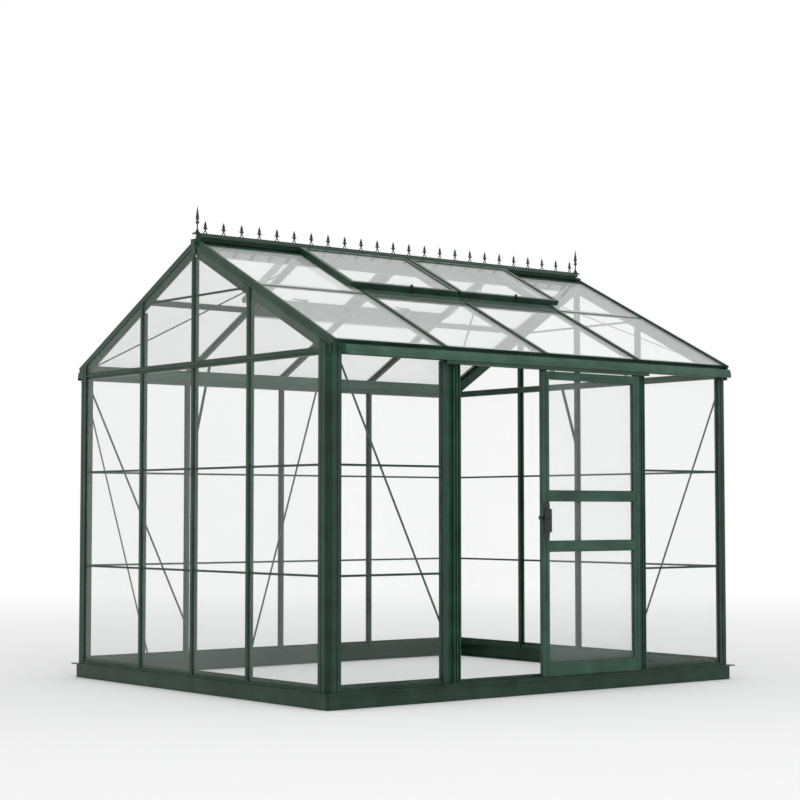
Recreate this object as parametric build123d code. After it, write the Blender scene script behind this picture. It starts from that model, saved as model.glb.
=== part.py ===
from build123d import *
import math
import os

os.makedirs("parts", exist_ok=True)

# Walk-in greenhouse: aluminium frame, clear glass, sliding door, four roof vents, ridge cresting.
# Frame: origin on the ground at the centre of the plan, +X along the ridge, +Z up.
# The long side with the door faces -Y, the gables face -X and +X.  All sizes in millimetres.

# ---- overall sizes
length = 3044.0            # gable plane to gable plane
width = 2610.0             # outer face of the long walls
apex_height = 2575.0       # where the two planes over the roof bar caps meet
roof_pitch = 26.565        # degrees
bar_pitch = 740.0          # spacing of the bars along the long walls and the roof
gable_bar_pitch = 561.0    # spacing of the gable bars

# ---- base and sill
base_height = 87.0
base_wall = 3.0
base_foot = 45.0           # width of the foot and of the top flange
base_lip = 24.0            # how far the top flange stands out of the wall
base_joint = 12.0          # half the width of the black joint piece at a corner
sill_height = 40.0
sill_rebate = 21.0         # height of the glass seat above the base

# ---- glazing
glass = 4.0
cap_depth = 10.0           # bar cap, outside the glass
slot = 0.4                 # play between the cap and the glass
flange = 3.1               # flange behind the glass
bar_depth = 40.0
cap_width = 26.0
flange_width = 34.0
neck_width = 8.0
foot_width = 18.0
pane_gap = 1.0             # pane edge to the middle of a bar neck face
joint_low = 685.0          # height of the lower pane joint in the walls
joint_high = 1260.0        # height of the upper pane joint in the walls
strip_face = 12.0          # visible height of a joint strip
strip_wall = 1.5
roof_joint = 690.0         # slope distance of the pane joint in the end bays

# ---- posts, eaves, gutter
post_face = 87.0
post_chamfer = 32.0
flute_radius = 5.0
eave_drop = 1834.0         # underside of the eave rails
eaves_bar_height = 1853.0  # middle of the gable eaves bar
eaves_bar_face = 40.0
gutter_reach = 50.0
gutter_top = 1884.0
gutter_floor = 1847.0
gutter_skirt = 1834.0
gutter_wall = 2.5
gutter_long = 22.0         # from the gable plane to the outlet end of a gutter
gutter_short = 82.0        # from the gable plane to its other end

# ---- verge
verge_rise = 2.0           # above the plane of the bar caps
verge_drop = 92.0
verge_lip = 42.0           # depth of the lip over the gable glass
verge_face = 16.0          # outer face, inside the gable plane
verge_web = 20.0           # inner face of its web, inside the gable plane
verge_in = 34.0
verge_end = 1489.0         # slope distance of its lower end
roof_bar_start = 75.0
roof_bar_end = 1480.0
roof_glass_end = 1472.0

# ---- ridge
ridge_half = 22.0
ridge_bottom = 2480.0
ridge_top = 2572.0
cap_half = 34.0
cap_low = 2580.0
crest_low = 2601.0
crest_thick = 8.0
crest_half = 12.0
fleur_count = 24
fleur_end_gap = 84.5
fleur_height = 75.0
fleur_half = 16.5
fleur_thick = 5.0
finial_inset = 25.0
finial_height = 155.0

# ---- vents
vent_reach = 70.0          # how far a vent stands out past its outer bar
vent_middle_gap = 10.0     # from the middle bar's centre to the vent beside it
vent_start = 50.0
vent_end = 613.0
vent_low = 0.3             # running gap over the bar caps
vent_high = 30.0
vent_skirt = 9.0           # drop of the outer side rail beside the bar cap
vent_side = 28.0
vent_rail = 23.0
vent_rebate = 8.0
vent_glass_low = 20.0
hinge_s = 40.0
hinge_n = 9.0
hinge_bead = 4.0
hinge_play = 0.3
hinge_wall = 3.2
stay_length = 110.0
stay_width = 10.0
stay_thick = 4.0
stay_s = 548.0
stay_n = 10.0
stay_pin = 2.5
pin_play = 0.3

# ---- sliding door
door_left = -52.0          # left edge when the door stands open
door_width = 770.0
door_bottom = 99.0
door_top = 1808.0
door_back = 8.0            # gap from the wall plane to the back of the door
door_thick = 26.0
stile = 50.0
head_rail = 45.0
mid_rail = 60.0
mid_low = 793.0
mid_high = 1076.0
bottom_rail = 74.0
roller_radius = 12.0
roller_width = 8.0
axle_radius = 3.0
axle_play = 0.05
track_low = 1815.0
track_reach = 40.0
jamb_start = -706.0
jamb_end = -627.0
stop_start = 757.0
stop_end = 800.0
handle_height = 200.0
handle_width = 46.0
grip_out = 8.0             # how far the grip stands out past its back plate
handle_z = 967.0
lock_z = 981.0
lock_radius = 7.0

# ---- bracing
strap_width = 12.0
knee_width = 24.0
strap_thick = 3.0
bolt_radius = 5.0
bolt_height = 3.5

# ---- worked out
half_l = length / 2
half_w = width / 2
sin_p = math.sin(math.radians(roof_pitch))
cos_p = math.cos(math.radians(roof_pitch))
glass_out = cap_depth + slot            # depth of the outer face of the glass
glass_in = glass_out + glass
flange_in = glass_in + flange
bars_x = [-bar_pitch, 0.0, bar_pitch]
bars_y = [-gable_bar_pitch, 0.0, gable_bar_pitch]
fw = flange_width / 2
pane_edge = neck_width / 2 + pane_gap


def save(name, solids):
    """Write one node: a single solid or a group of separate solids."""
    group = []
    for item in solids:
        group.extend(item.solids())
    shape = group[0] if len(group) == 1 else Compound(children=group)
    export_step(shape, "parts/" + name + ".step")


def along_x(points, start, end):
    """Prism along X from a section of (y, z) points."""
    plane = Plane(origin=(start, 0, 0), x_dir=(0, 1, 0), z_dir=(1, 0, 0))
    return extrude(plane * Polygon(*points, align=None), amount=end - start, dir=(1, 0, 0))


def along_y(points, start, end):
    """Prism along Y from a section of (x, z) points."""
    plane = Plane(origin=(0, start, 0), x_dir=(0, 0, 1), z_dir=(0, 1, 0))
    turned = [(z, x) for x, z in points]
    return extrude(plane * Polygon(*turned, align=None), amount=end - start, dir=(0, 1, 0))


def along_z(points, start, end):
    """Prism along Z from a plan of (x, y) points."""
    return extrude(Pos(0, 0, start) * Polygon(*points, align=None), amount=end - start, dir=(0, 0, 1))


def block(x0, x1, y0, y1, z0, z1):
    return Pos((x0 + x1) / 2, (y0 + y1) / 2, (z0 + z1) / 2) * Box(x1 - x0, y1 - y0, z1 - z0)


def rect(a0, a1, b0, b1):
    return [(a0, b0), (a1, b0), (a1, b1), (a0, b1)]


def flip_x(item):
    return mirror(item, about=Plane.YZ)


def flip_y(item):
    return mirror(item, about=Plane.XZ)


def slope(s, n):
    """(y, z) of a point on the front roof: s down the slope, n out of the bar cap plane."""
    return (-s * cos_p - n * sin_p, apex_height - s * sin_p + n * cos_p)


def slope_x(points, start, end):
    """Prism along X from a section of (s, n) points on the front roof."""
    return along_x([slope(s, n) for s, n in points], start, end)


def slope_s(points, start, end):
    """Prism down the front roof from a section of (x, n) points."""
    y, z = slope(start, 0)
    plane = Plane(origin=(0, y, z), x_dir=(1, 0, 0), z_dir=(0, -cos_p, -sin_p))
    return extrude(plane * Polygon(*points, align=None), amount=end - start, dir=(0, -cos_p, -sin_p))


def slope_pin(x, s, n, radius, s_end):
    """Round bar down the front roof from s to s_end."""
    y, z = slope(s, n)
    plane = Plane(origin=(x, y, z), x_dir=(1, 0, 0), z_dir=(0, -cos_p, -sin_p))
    return extrude(plane * Circle(radius), amount=s_end - s)


def bar_section(middle):
    """Glazing bar section as (across, depth) points: cap, glass slots, flange, web and foot."""
    half = [
        (cap_width / 2 - 4, 0),
        (cap_width / 2 - 1, 1.2),
        (cap_width / 2, 4),
        (cap_width / 2, cap_depth),
        (neck_width / 2, cap_depth),
        (neck_width / 2, glass_in),
        (fw, glass_in),
        (fw, flange_in),
        (neck_width / 2, flange_in),
        (neck_width / 2, bar_depth - 4),
        (foot_width / 2, bar_depth - 4),
        (foot_width / 2, bar_depth),
    ]
    left = [(-a, d) for a, d in reversed(half)]
    return [(middle + a, d) for a, d in half + left]


def front_points(points):
    """(along, depth) to (x, y) on the front wall."""
    return [(a, -half_w + d) for a, d in points]


def gable_points(points):
    """(along, depth) to (x, y) on the left gable."""
    return [(-half_l + d, a) for a, d in points]


# ------------------------------------------------------------------ base rails and corner joints

def base_section():
    t = base_wall
    h = base_height
    return [(0, 0), (base_foot, 0), (base_foot, t), (t, t), (t, h - t), (base_foot, h - t),
            (base_foot, h), (-base_lip, h), (-base_lip, h - 2 * t), (t - base_lip, h - 2 * t),
            (t - base_lip, h - t), (0, h - t)]


def front_base():
    rail = along_x([(-half_w + d, z) for d, z in base_section()], -half_l - base_lip, half_l + base_lip)
    out = half_l + base_lip - base_joint
    inner = half_l - base_foot - base_joint
    plan = [(-out, -half_w - base_lip), (out, -half_w - base_lip),
            (inner, -half_w + base_foot), (-inner, -half_w + base_foot)]
    return rail & along_z(plan, 0, base_height)


def left_base():
    rail = along_y([(-half_l + d, z) for d, z in base_section()], -half_w - base_lip, half_w + base_lip)
    out = half_w + base_lip - base_joint
    inner = half_w - base_foot - base_joint
    plan = [(-half_l - base_lip, -out), (-half_l - base_lip, out),
            (-half_l + base_foot, inner), (-half_l + base_foot, -inner)]
    return rail & along_z(plan, 0, base_height)


def base_corner():
    edge = 2.0 - base_lip
    far = base_foot
    j = base_joint
    plan = [(edge, edge), (edge + j, edge), (far, far - j), (far, far), (far - j, far), (edge, edge + j)]
    low = [(2.0, 2.0), (2.0 + j, 2.0), (far, far - j), (far, far), (far - j, far), (2.0, 2.0 + j)]
    top = along_z([(-half_l + x, -half_w + y) for x, y in plan], base_height - 2 * base_wall, base_height)
    body = along_z([(-half_l + x, -half_w + y) for x, y in low], 0, base_height - 2 * base_wall)
    return top + body


front_rail = front_base()
left_rail = left_base()
save("base_rails", [front_rail, flip_y(front_rail), left_rail, flip_x(left_rail)])
corner = base_corner()
save("base_corner_joints", [corner, flip_x(corner), flip_y(corner), flip_x(flip_y(corner))])


# ------------------------------------------------------------------ corner posts

def over_slope(depth, near, far):
    """All that lies above a plane under both roof slopes, between two depths in from the left gable."""
    top = apex_height - depth / cos_p
    reach = half_w + 10
    low = top - reach * math.tan(math.radians(roof_pitch))
    outline = [(0, top), (reach, low), (reach, 3200), (-reach, 3200), (-reach, low)]
    return along_x(outline, -half_l + near, -half_l + far)


def post():
    """Front left corner post: fluted diagonal face, a groove in each face, a glass slot at each edge."""
    side = [(post_chamfer, 0), (58, 0), (58, 4), (63, 4), (63, 0), (post_face, 0), (post_face, cap_depth),
            (post_face - 15, cap_depth), (post_face - 15, glass_in), (post_face + 5, glass_in),
            (post_face + 5, flange_in), (post_face - 15, flange_in), (post_face - 15, bar_depth),
            (bar_depth, bar_depth)]
    other = [(b, a) for a, b in reversed(side[:-1])]
    plan = [(-half_l + a, -half_w + b) for a, b in side + other]
    body = along_z(plan, base_height, eave_drop + 130)
    for share in (0.24, 0.5, 0.76):
        x = -half_l + post_chamfer * share
        y = -half_w + post_chamfer * (1 - share)
        body -= Pos(x, y, (base_height + eave_drop + 60) / 2) * Cylinder(flute_radius, eave_drop)
    body -= over_slope(verge_lip, -1, glass_in)
    body -= over_slope(verge_drop, glass_in, verge_web + 0.3)
    body -= over_slope(flange_in + 0.3, verge_web + 0.3, 130)
    eave_cut = block(-half_l + post_face - 15, -half_l + 130, -half_w - 1, -half_w + 130, eave_drop, 3000)
    return body - eave_cut


left_post = post()
save("corner_posts", [left_post, flip_x(left_post), flip_y(left_post), flip_x(flip_y(left_post))])


# ------------------------------------------------------------------ bars of the long walls and gables

eaves_low = eaves_bar_height - eaves_bar_face / 2
eaves_top = eaves_bar_height + eaves_bar_face / 2
front_bars = []
for x in bars_x:
    front_bars.append(along_z(front_points(bar_section(x)), base_height, eave_drop))
save("wall_bars_front", front_bars)
save("wall_bars_back", [flip_y(bar) for bar in front_bars])

low_bars = []
high_bars = []
for y in bars_y:
    plan = gable_points(bar_section(y))
    low_bars.append(along_z(plan, base_height, eaves_low))
    high = along_z(plan, eaves_top, ridge_bottom)
    high -= over_slope(verge_lip, -1, 100)
    high -= over_slope(verge_drop, glass_in, 100)
    high_bars.append(high)
save("gable_bars", low_bars + high_bars + [flip_x(bar) for bar in low_bars + high_bars])

eaves_half = half_w - post_face - 5
eaves_section = [(0, eaves_bar_height + 5), (0, eaves_bar_height - 5), (cap_depth, eaves_bar_height - 5),
                 (cap_depth, eaves_low), (glass_out, eaves_low), (glass_out, eaves_low + 8),
                 (glass_in, eaves_low + 8), (glass_in, eaves_low), (bar_depth, eaves_low),
                 (bar_depth, eaves_top), (glass_in, eaves_top), (glass_in, eaves_top - 8),
                 (glass_out, eaves_top - 8), (glass_out, eaves_top), (cap_depth, eaves_top),
                 (cap_depth, eaves_bar_height + 5)]
eaves_bar = along_y([(-half_l + d, z) for d, z in eaves_section], -eaves_half, eaves_half)
eaves_bar -= over_slope(verge_drop, -1, 100)
save("gable_eaves_bars", [eaves_bar, flip_x(eaves_bar)])


# ------------------------------------------------------------------ sills on the base

sill_section = [(0, base_height), (bar_depth, base_height), (bar_depth, base_height + 25),
                (flange_in, base_height + 25), (flange_in, base_height + sill_height),
                (glass_in, base_height + sill_height), (glass_in, base_height + sill_rebate),
                (7, base_height + sill_rebate), (7, base_height + 13), (0, base_height + 13)]
post_in = half_l - post_face - 5
gable_post_in = half_w - post_face - 5
front_bays = [(-post_in, bars_x[0] - fw), (bars_x[0] + fw, bars_x[1] - fw),
              (bars_x[1] + fw, bars_x[2] - fw), (bars_x[2] + fw, post_in)]
gable_bays = [(-gable_post_in, bars_y[0] - fw), (bars_y[0] + fw, bars_y[1] - fw),
              (bars_y[1] + fw, bars_y[2] - fw), (bars_y[2] + fw, gable_post_in)]
sills = []
for index, (start, end) in enumerate(front_bays):
    sill = along_x([(-half_w + d, z) for d, z in sill_section], start, end)
    sills.append(flip_y(sill))
    if index == 3:
        sill = along_x([(-half_w + d, z) for d, z in sill_section], stop_end, end)
    if index != 1:
        sills.append(sill)
for start, end in gable_bays:
    sill = along_y([(-half_l + d, z) for d, z in sill_section], start, end)
    sills.append(sill)
    sills.append(flip_x(sill))
save("sills", sills)


# ------------------------------------------------------------------ eave rails and gutters

def eave_rail():
    foot = apex_height - flange_in / cos_p - half_w * math.tan(math.radians(roof_pitch))
    rise = bar_depth * math.tan(math.radians(roof_pitch))
    section = [(0, eave_drop), (cap_depth, eave_drop), (cap_depth, eave_drop + 14), (glass_in, eave_drop + 14),
               (glass_in, eave_drop), (flange_in, eave_drop), (flange_in, eave_drop + 28),
               (bar_depth, eave_drop + 28), (bar_depth, foot + rise), (0, foot)]
    rail = along_x([(-half_w + d, z) for d, z in section], -half_l + post_face - 15, half_l - post_face + 15)
    groove = along_x(rect(-half_w - 1, -half_w + 3, gutter_top + 4, gutter_top + 8), -half_l, half_l)
    return rail - groove


def gutter():
    """Gutter in three strips: the wall strip, the pan and the front fascia with its skirt."""
    t = gutter_wall
    out = gutter_reach
    step = gutter_floor + 10
    wall = rect(-t, 0, gutter_floor, gutter_top)
    pan = rect(t - out, -t, gutter_floor, gutter_floor + 3)
    fascia = [(t - out, step), (t + 8 - out, gutter_top), (8 - out, gutter_top), (-out, step),
              (-out, gutter_skirt), (t - out, gutter_skirt)]
    strips = []
    for section in (wall, pan, fascia):
        points = [(-half_w + d, z) for d, z in section]
        strips.append(along_x(points, -half_l + gutter_short, half_l - gutter_long))
    return strips


def gutter_cap(start):
    out = gutter_reach
    section = [(0, gutter_floor), (0, gutter_top), (8 - out, gutter_top), (-out, gutter_floor + 10),
               (-out, gutter_skirt), (gutter_wall - out, gutter_skirt), (gutter_wall - out, gutter_floor)]
    return along_x([(-half_w + d, z) for d, z in section], start, start + 2)


def half_turn(item):
    return flip_x(flip_y(item))


rail = eave_rail()
save("eave_rails", [rail, flip_y(rail)])
wall_strip, pan, fascia = gutter()
outlet_x = half_l - gutter_long - 22
outlet_y = -half_w - gutter_reach / 2
pan -= Pos(outlet_x, outlet_y, gutter_floor + 1) * Cylinder(9, 10)
front_gutter = [wall_strip, pan, fascia]
save("gutter_front", front_gutter)
save("gutter_back", [half_turn(item) for item in front_gutter])
caps = [gutter_cap(gutter_short - 2 - half_l), gutter_cap(half_l - gutter_long)]
save("gutter_end_caps", caps + [half_turn(item) for item in caps])
spout = Pos(outlet_x, outlet_y, gutter_floor - 14) * Cylinder(12, 28)
spout -= Pos(outlet_x, outlet_y, gutter_floor - 14) * Cylinder(9, 30)
save("gutter_outlets", [spout, half_turn(spout)])


# ------------------------------------------------------------------ verges, roof bars, end plugs

def verge():
    """Bar along the gable's slope: roof glass in its inner side, gable glass up under its lip."""
    seat = verge_in - 10
    section = [(verge_face, 0), (verge_face + 2, verge_rise), (verge_in, verge_rise), (verge_in, -cap_depth),
               (seat, -cap_depth), (seat, -glass_in), (verge_in + 5, -glass_in), (verge_in + 5, -flange_in),
               (verge_web, -flange_in), (verge_web, -verge_drop), (glass_in, -verge_drop),
               (glass_in, 10 - verge_lip),
               (glass_out, 10 - verge_lip), (glass_out, -verge_lip), (7, -verge_lip),
               (7, 14 - verge_lip), (verge_face, 20 - verge_lip)]
    bar = slope_s([(-half_l + a, n) for a, n in section], -40, verge_end)
    bar -= block(-half_l - 50, -half_l + 100, -ridge_half, 200, 2000, 3000)
    over_gutter = block(-half_l - 50, -half_l + 100, -half_w - 200, -half_w, 0, gutter_top + 0.3)
    return bar - over_gutter


left_verge = verge()
save("verge_bars", [left_verge, flip_x(left_verge), flip_y(left_verge), flip_x(flip_y(left_verge))])

roof_bars = []
plugs = []
stem_end = (half_w - bar_depth - 4) / cos_p - bar_depth * math.tan(math.radians(roof_pitch))
for x in bars_x:
    top = [(a, -d) for a, d in bar_section(x)]
    bar = slope_s(top, roof_bar_start, roof_bar_end)
    bar -= slope_s(rect(x - fw, x + fw, -bar_depth - 1, -flange_in), stem_end, roof_bar_end + 1)
    roof_bars.append(bar)
    plugs.append(slope_s(rect(x - cap_width / 2, x + cap_width / 2, -cap_depth, -0.5),
                         roof_bar_end, roof_bar_end + 4))
save("roof_bars_front", roof_bars)
save("roof_bars_back", [flip_y(bar) for bar in roof_bars])
plug_section = [(-half_l + a, n) for a, n in rect(verge_face + 1, verge_in - 1, -20, verge_rise - 1)]
verge_plug = slope_s(plug_section, verge_end, verge_end + 4)
plugs += [verge_plug, flip_x(verge_plug)]
save("bar_end_plugs", plugs + [flip_y(plug) for plug in plugs])


# ------------------------------------------------------------------ ridge

def hinge_socket():
    """Open round channel that a vent's bead turns in, with its web to the ridge beam."""
    y, z = slope(hinge_s, hinge_n)
    run = half_l - verge_in - 5
    plane = Plane(origin=(-run, y, z), x_dir=(0, -cos_p, -sin_p), z_dir=(1, 0, 0))
    ring = Circle(hinge_bead + hinge_play + hinge_wall) - Circle(hinge_bead + hinge_play)
    mouth = Polygon((0, 0), (20, 14), (40, 0), (20, -55), (7, -19), align=None)
    ring = ring - mouth
    return extrude(plane * ring, amount=2 * run)


def ridge():
    run = half_l - verge_in - 5
    beam = along_x(rect(-ridge_half, ridge_half, ridge_bottom, ridge_top), -half_l + 2, half_l - 2)
    y, z = slope(hinge_s, hinge_n)
    ring_out = hinge_bead + hinge_play + hinge_wall
    for turn in (0, 1):
        wings = [slope_x(rect(20, roof_bar_start, -flange_in, -glass_in), -run, run),
                 slope_x(rect(20, 58, -cap_depth, 4 - cap_depth), -run, run),
                 along_x(rect(y + hinge_bead + 2, 1 - ridge_half, z - 2, z + 2), -run, run),
                 hinge_socket()]
        for wing in wings:
            beam += flip_y(wing) if turn else wing
    vent_out = bar_pitch + vent_reach + 4
    for start, end in ((-run, -vent_out), (vent_out, run)):
        cover = slope_x(rect(57, 78, -cap_depth, 4 - cap_depth), start, end)
        beam += cover + flip_y(cover)
    cap = along_x([(-cap_half, cap_low), (cap_half, cap_low), (cap_half - 3, cap_low + 12),
                   (cap_half - 10, crest_low), (10 - cap_half, crest_low), (3 - cap_half, cap_low + 12)],
                  -run, run)
    neck = along_x(rect(-16, 16, ridge_top - 1, cap_low + 1), -run, run)
    stem = Pos(finial_inset + 5.5 - half_l, 0, (ridge_top + crest_low) / 2) * Cylinder(4, crest_low - ridge_top)
    return beam + cap + neck + stem + flip_x(stem)


save("ridge_beam", [ridge()])
plate = block(-half_l - 1, -half_l + 2, -20, 20, 2531, 2572)
save("ridge_end_plates", [plate, flip_x(plate)])
crest_top = crest_low + crest_thick
crest = block(-half_l + 3, half_l - 3, -crest_half, crest_half, crest_low, crest_top)
save("ridge_crest_rail", [crest])


def fleur(x):
    """Flat fleur-de-lis casting: crossed legs, collar, side scrolls and a pointed leaf."""
    outline = [(-14, 0), (-9, 0), (0, 17), (9, 0), (14, 0), (4, 24), (9, 30), (7, 44), (6, 56), (0, 75),
               (-6, 56), (-7, 44), (-9, 30), (-4, 24)]
    grow = fleur_height / 75
    body = along_y([(x + a * grow, crest_top + b * grow) for a, b in outline],
                   -fleur_thick / 2, fleur_thick / 2)
    for side in (-1, 1):
        scroll = Pos(x + side * (fleur_half - 5), 0, crest_top + 30 * grow)
        body += scroll * Rot(90, 0, 0) * Cylinder(5, fleur_thick)
    return body


def finial(x):
    """Turned spear finial: stacked discs, stem, collar and a tall cone."""
    h = finial_height
    outline = [(0, 0), (15.5, 0), (15.5, 0.04 * h), (9, 0.06 * h), (9, 0.12 * h), (5, 0.16 * h),
               (5, 0.34 * h), (11, 0.40 * h), (11, 0.44 * h), (6, 0.50 * h), (10, 0.58 * h), (0, h)]
    plane = Plane(origin=(x, 0, crest_top), x_dir=(1, 0, 0), z_dir=(0, -1, 0))
    return revolve(plane * Polygon(*outline, align=None), axis=Axis((x, 0, 0), (0, 0, 1)))


fleurs = []
fleur_run = half_l - fleur_end_gap
for index in range(fleur_count):
    fleurs.append(fleur(-fleur_run + 2 * fleur_run * index / (fleur_count - 1)))
save("ridge_fleurs", fleurs)
save("ridge_finials", [finial(-half_l + finial_inset + 5.5), finial(half_l - finial_inset - 5.5)])


# ------------------------------------------------------------------ roof glass supports

sill_profile = [(590, -flange_in), (590, -0.5), (640, -0.5), (655, -4), (705, -4), (720, -6.5),
                (725, -cap_depth), (711, -cap_depth), (711, -glass_in), (725, -glass_in),
                (725, -flange_in), (700, -34), (590, -34)]
vent_sills = []
purlins = []
purlin_profile = rect(roof_joint - 58, roof_joint + 2, -flange_in - 4, -flange_in)
edge = roof_glass_end
edge_top = 1.4 - glass_out
edge_foot = -glass_in - 5.6
edge_seat = -glass_in - 0.3
edge_profile = [(edge + 0.5, edge_top), (edge + 7, edge_top), (edge + 7, edge_foot), (edge - 2, edge_foot),
                (edge - 2, edge_seat), (edge + 0.5, edge_seat)]
edge_strips = []
for start, end in front_bays[1:3]:
    vent_sills.append(slope_x(sill_profile, start, end))
roof_ends = [(-half_l + verge_in + 5, bars_x[0] - fw), (bars_x[2] + fw, half_l - verge_in - 5)]
for start, end in roof_ends:
    purlins.append(slope_x(purlin_profile, start, end))
for start, end in roof_ends + front_bays[1:3]:
    edge_strips.append(slope_x(edge_profile, start, end))
save("vent_sills", vent_sills + [flip_y(item) for item in vent_sills])
save("roof_purlins", purlins + [flip_y(item) for item in purlins])
save("roof_edge_strips", edge_strips + [flip_y(item) for item in edge_strips])


# ------------------------------------------------------------------ glass and its joint strips

def wall_pane(start, end, low, high):
    return block(start, end, -half_w + glass_out, -half_w + glass_in, low, high)


def h_strip(middle):
    """H section of a pane joint as (depth, height) points."""
    face = strip_face / 2
    outer = glass_out - strip_wall
    inner = glass_in + strip_wall
    return [(outer, middle - face), (glass_out, middle - face), (glass_out, middle - 1),
            (glass_in, middle - 1), (glass_in, middle - face), (inner, middle - face),
            (inner, middle + face), (glass_in, middle + face), (glass_in, middle + 1),
            (glass_out, middle + 1), (glass_out, middle + face), (outer, middle + face)]


glass_low = base_height + sill_rebate
glass_top = eave_drop + 14
pane_rows = [(glass_low, joint_low - 1), (joint_low + 1, joint_high - 1), (joint_high + 1, glass_top)]
post_slot = half_l - post_face + 10
front_spans = [(-post_slot, bars_x[0] - pane_edge), (bars_x[0] + pane_edge, bars_x[1] - pane_edge),
               (bars_x[1] + pane_edge, bars_x[2] - pane_edge), (bars_x[2] + pane_edge, post_slot)]
front_panes = []
back_panes = []
strips = []
for index, (start, end) in enumerate(front_spans):
    inner, outer = front_bays[index]
    for low, high in pane_rows:
        pane = wall_pane(start, end, low, high)
        back_panes.append(flip_y(pane))
        if index == 3:
            pane = wall_pane(stop_end - 8, end, low, high)
        if index in (0, 3):
            front_panes.append(pane)
    for height in (joint_low, joint_high):
        strip = along_x([(-half_w + d, z) for d, z in h_strip(height)], inner, outer)
        strips.append(flip_y(strip))
        if index == 3:
            strip = along_x([(-half_w + d, z) for d, z in h_strip(height)], stop_end, outer)
        if index in (0, 3):
            strips.append(strip)
start, end = front_spans[2]
front_panes.append(wall_pane(start, end, glass_low, glass_top))
save("glass_front", front_panes)
save("glass_back", back_panes)


def gable_pane(points):
    return along_x(points, -half_l + glass_out, -half_l + glass_in)


def pane_under_verge(y0, y1, low, top=3000.0):
    """Pane from a height up to the verge, or to a level line below it."""
    room = (verge_lip - 9.0) / cos_p
    tan_p = math.tan(math.radians(roof_pitch))
    crown = apex_height - room - 0.5
    pane = block(-half_l + glass_out, -half_l + glass_in, y0, y1, low, min(top, crown))
    for side in (-1, 1):
        pane -= along_x([(0, crown), (side * half_w, crown - half_w * tan_p), (side * half_w, 3500), (0, 3500)],
                        -half_l, -half_l + 50)
    return pane - block(-half_l, -half_l + 50, -ridge_half - 0.5, ridge_half + 0.5, ridge_bottom - 0.5, 3000)


gable_slot = half_w - post_face + 10
gable_spans = [(-gable_slot, bars_y[0] - pane_edge), (bars_y[0] + pane_edge, bars_y[1] - pane_edge),
               (bars_y[1] + pane_edge, bars_y[2] - pane_edge), (bars_y[2] + pane_edge, gable_slot)]
gable_rows = [(glass_low, joint_low - 1), (joint_low + 1, joint_high - 1), (joint_high + 1, eaves_low + 8)]
gable_joint = 2245.0
gable_panes = []
gable_strips = []
for index, (start, end) in enumerate(gable_spans):
    for low, high in gable_rows:
        gable_panes.append(gable_pane(rect(start, end, low, high)))
    inner, outer = gable_bays[index]
    for height in (joint_low, joint_high):
        gable_strips.append(along_y([(-half_l + d, z) for d, z in h_strip(height)], inner, outer))
    if index in (0, 3):
        gable_panes.append(pane_under_verge(start, end, eaves_top - 8))
        continue
    gable_panes.append(pane_under_verge(start, end, eaves_top - 8, gable_joint - 1))
    gable_panes.append(pane_under_verge(start, end, gable_joint + 1))
    line = along_y([(-half_l + d, z) for d, z in h_strip(gable_joint)], inner, outer)
    line -= over_slope(verge_drop, -1, 100)
    gable_strips.append(line)
save("glass_gables", gable_panes + [flip_x(pane) for pane in gable_panes])

roof_panes = []
verge_slot = half_l - verge_in + 8
for side in (-1, 1):
    x0 = -verge_slot if side < 0 else bars_x[2] + pane_edge
    x1 = bars_x[0] - pane_edge if side < 0 else verge_slot
    roof_panes.append(slope_x(rect(60, roof_joint - 1, -glass_in, -glass_out), x0, x1))
    roof_panes.append(slope_x(rect(roof_joint + 1, roof_glass_end, -glass_in, -glass_out), x0, x1))
    inner, outer = roof_ends[0] if side < 0 else roof_ends[1]
    section = [(roof_joint + z, -d) for d, z in h_strip(0)]
    roof_strip = slope_x(section, inner, outer)
    strips += [roof_strip, flip_y(roof_strip)]
for index in (1, 2):
    start, end = front_spans[index]
    roof_panes.append(slope_x(rect(711, roof_glass_end, -glass_in, -glass_out), start, end))
    inner, outer = front_bays[index]
    drip = slope_x(rect(743, 750, -glass_out, 2 - glass_out), inner, outer)
    strips += [drip, flip_y(drip)]
save("glass_roof", roof_panes + [flip_y(pane) for pane in roof_panes])
save("glass_joint_strips", strips + gable_strips + [flip_x(strip) for strip in gable_strips])


# ------------------------------------------------------------------ bracing and bolts

def strap_front(start, end, depth):
    """Flat strap on the front wall between two (x, z) points."""
    dx = end[0] - start[0]
    dz = end[1] - start[1]
    run = math.hypot(dx, dz)
    ux = dx / run * strap_width / 2
    uz = dz / run * strap_width / 2
    section = [(start[0] - uz, start[1] + ux), (end[0] - uz, end[1] + ux),
               (end[0] + uz, end[1] - ux), (start[0] + uz, start[1] - ux)]
    return along_y(section, -half_w + depth, -half_w + depth + strap_thick)


def strap_gable(start, end, depth, wide=strap_width):
    """Flat strap on the left gable between two (y, z) points."""
    dy = end[0] - start[0]
    dz = end[1] - start[1]
    run = math.hypot(dy, dz)
    uy = dy / run * wide / 2
    uz = dz / run * wide / 2
    section = [(start[0] - uz, start[1] + uy), (end[0] - uz, end[1] + uy),
               (end[0] + uz, end[1] - uy), (start[0] + uz, start[1] - uy)]
    return along_x(section, -half_l + depth, -half_l + depth + strap_thick)


def bolt_front(x, z, depth):
    return Pos(x, -half_w + depth + bolt_height / 2, z) * Rot(90, 0, 0) * Cylinder(bolt_radius, bolt_height)


def bolt_gable(y, z, depth):
    return Pos(-half_l + depth + bolt_height / 2, y, z) * Rot(0, 90, 0) * Cylinder(bolt_radius, bolt_height)


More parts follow.
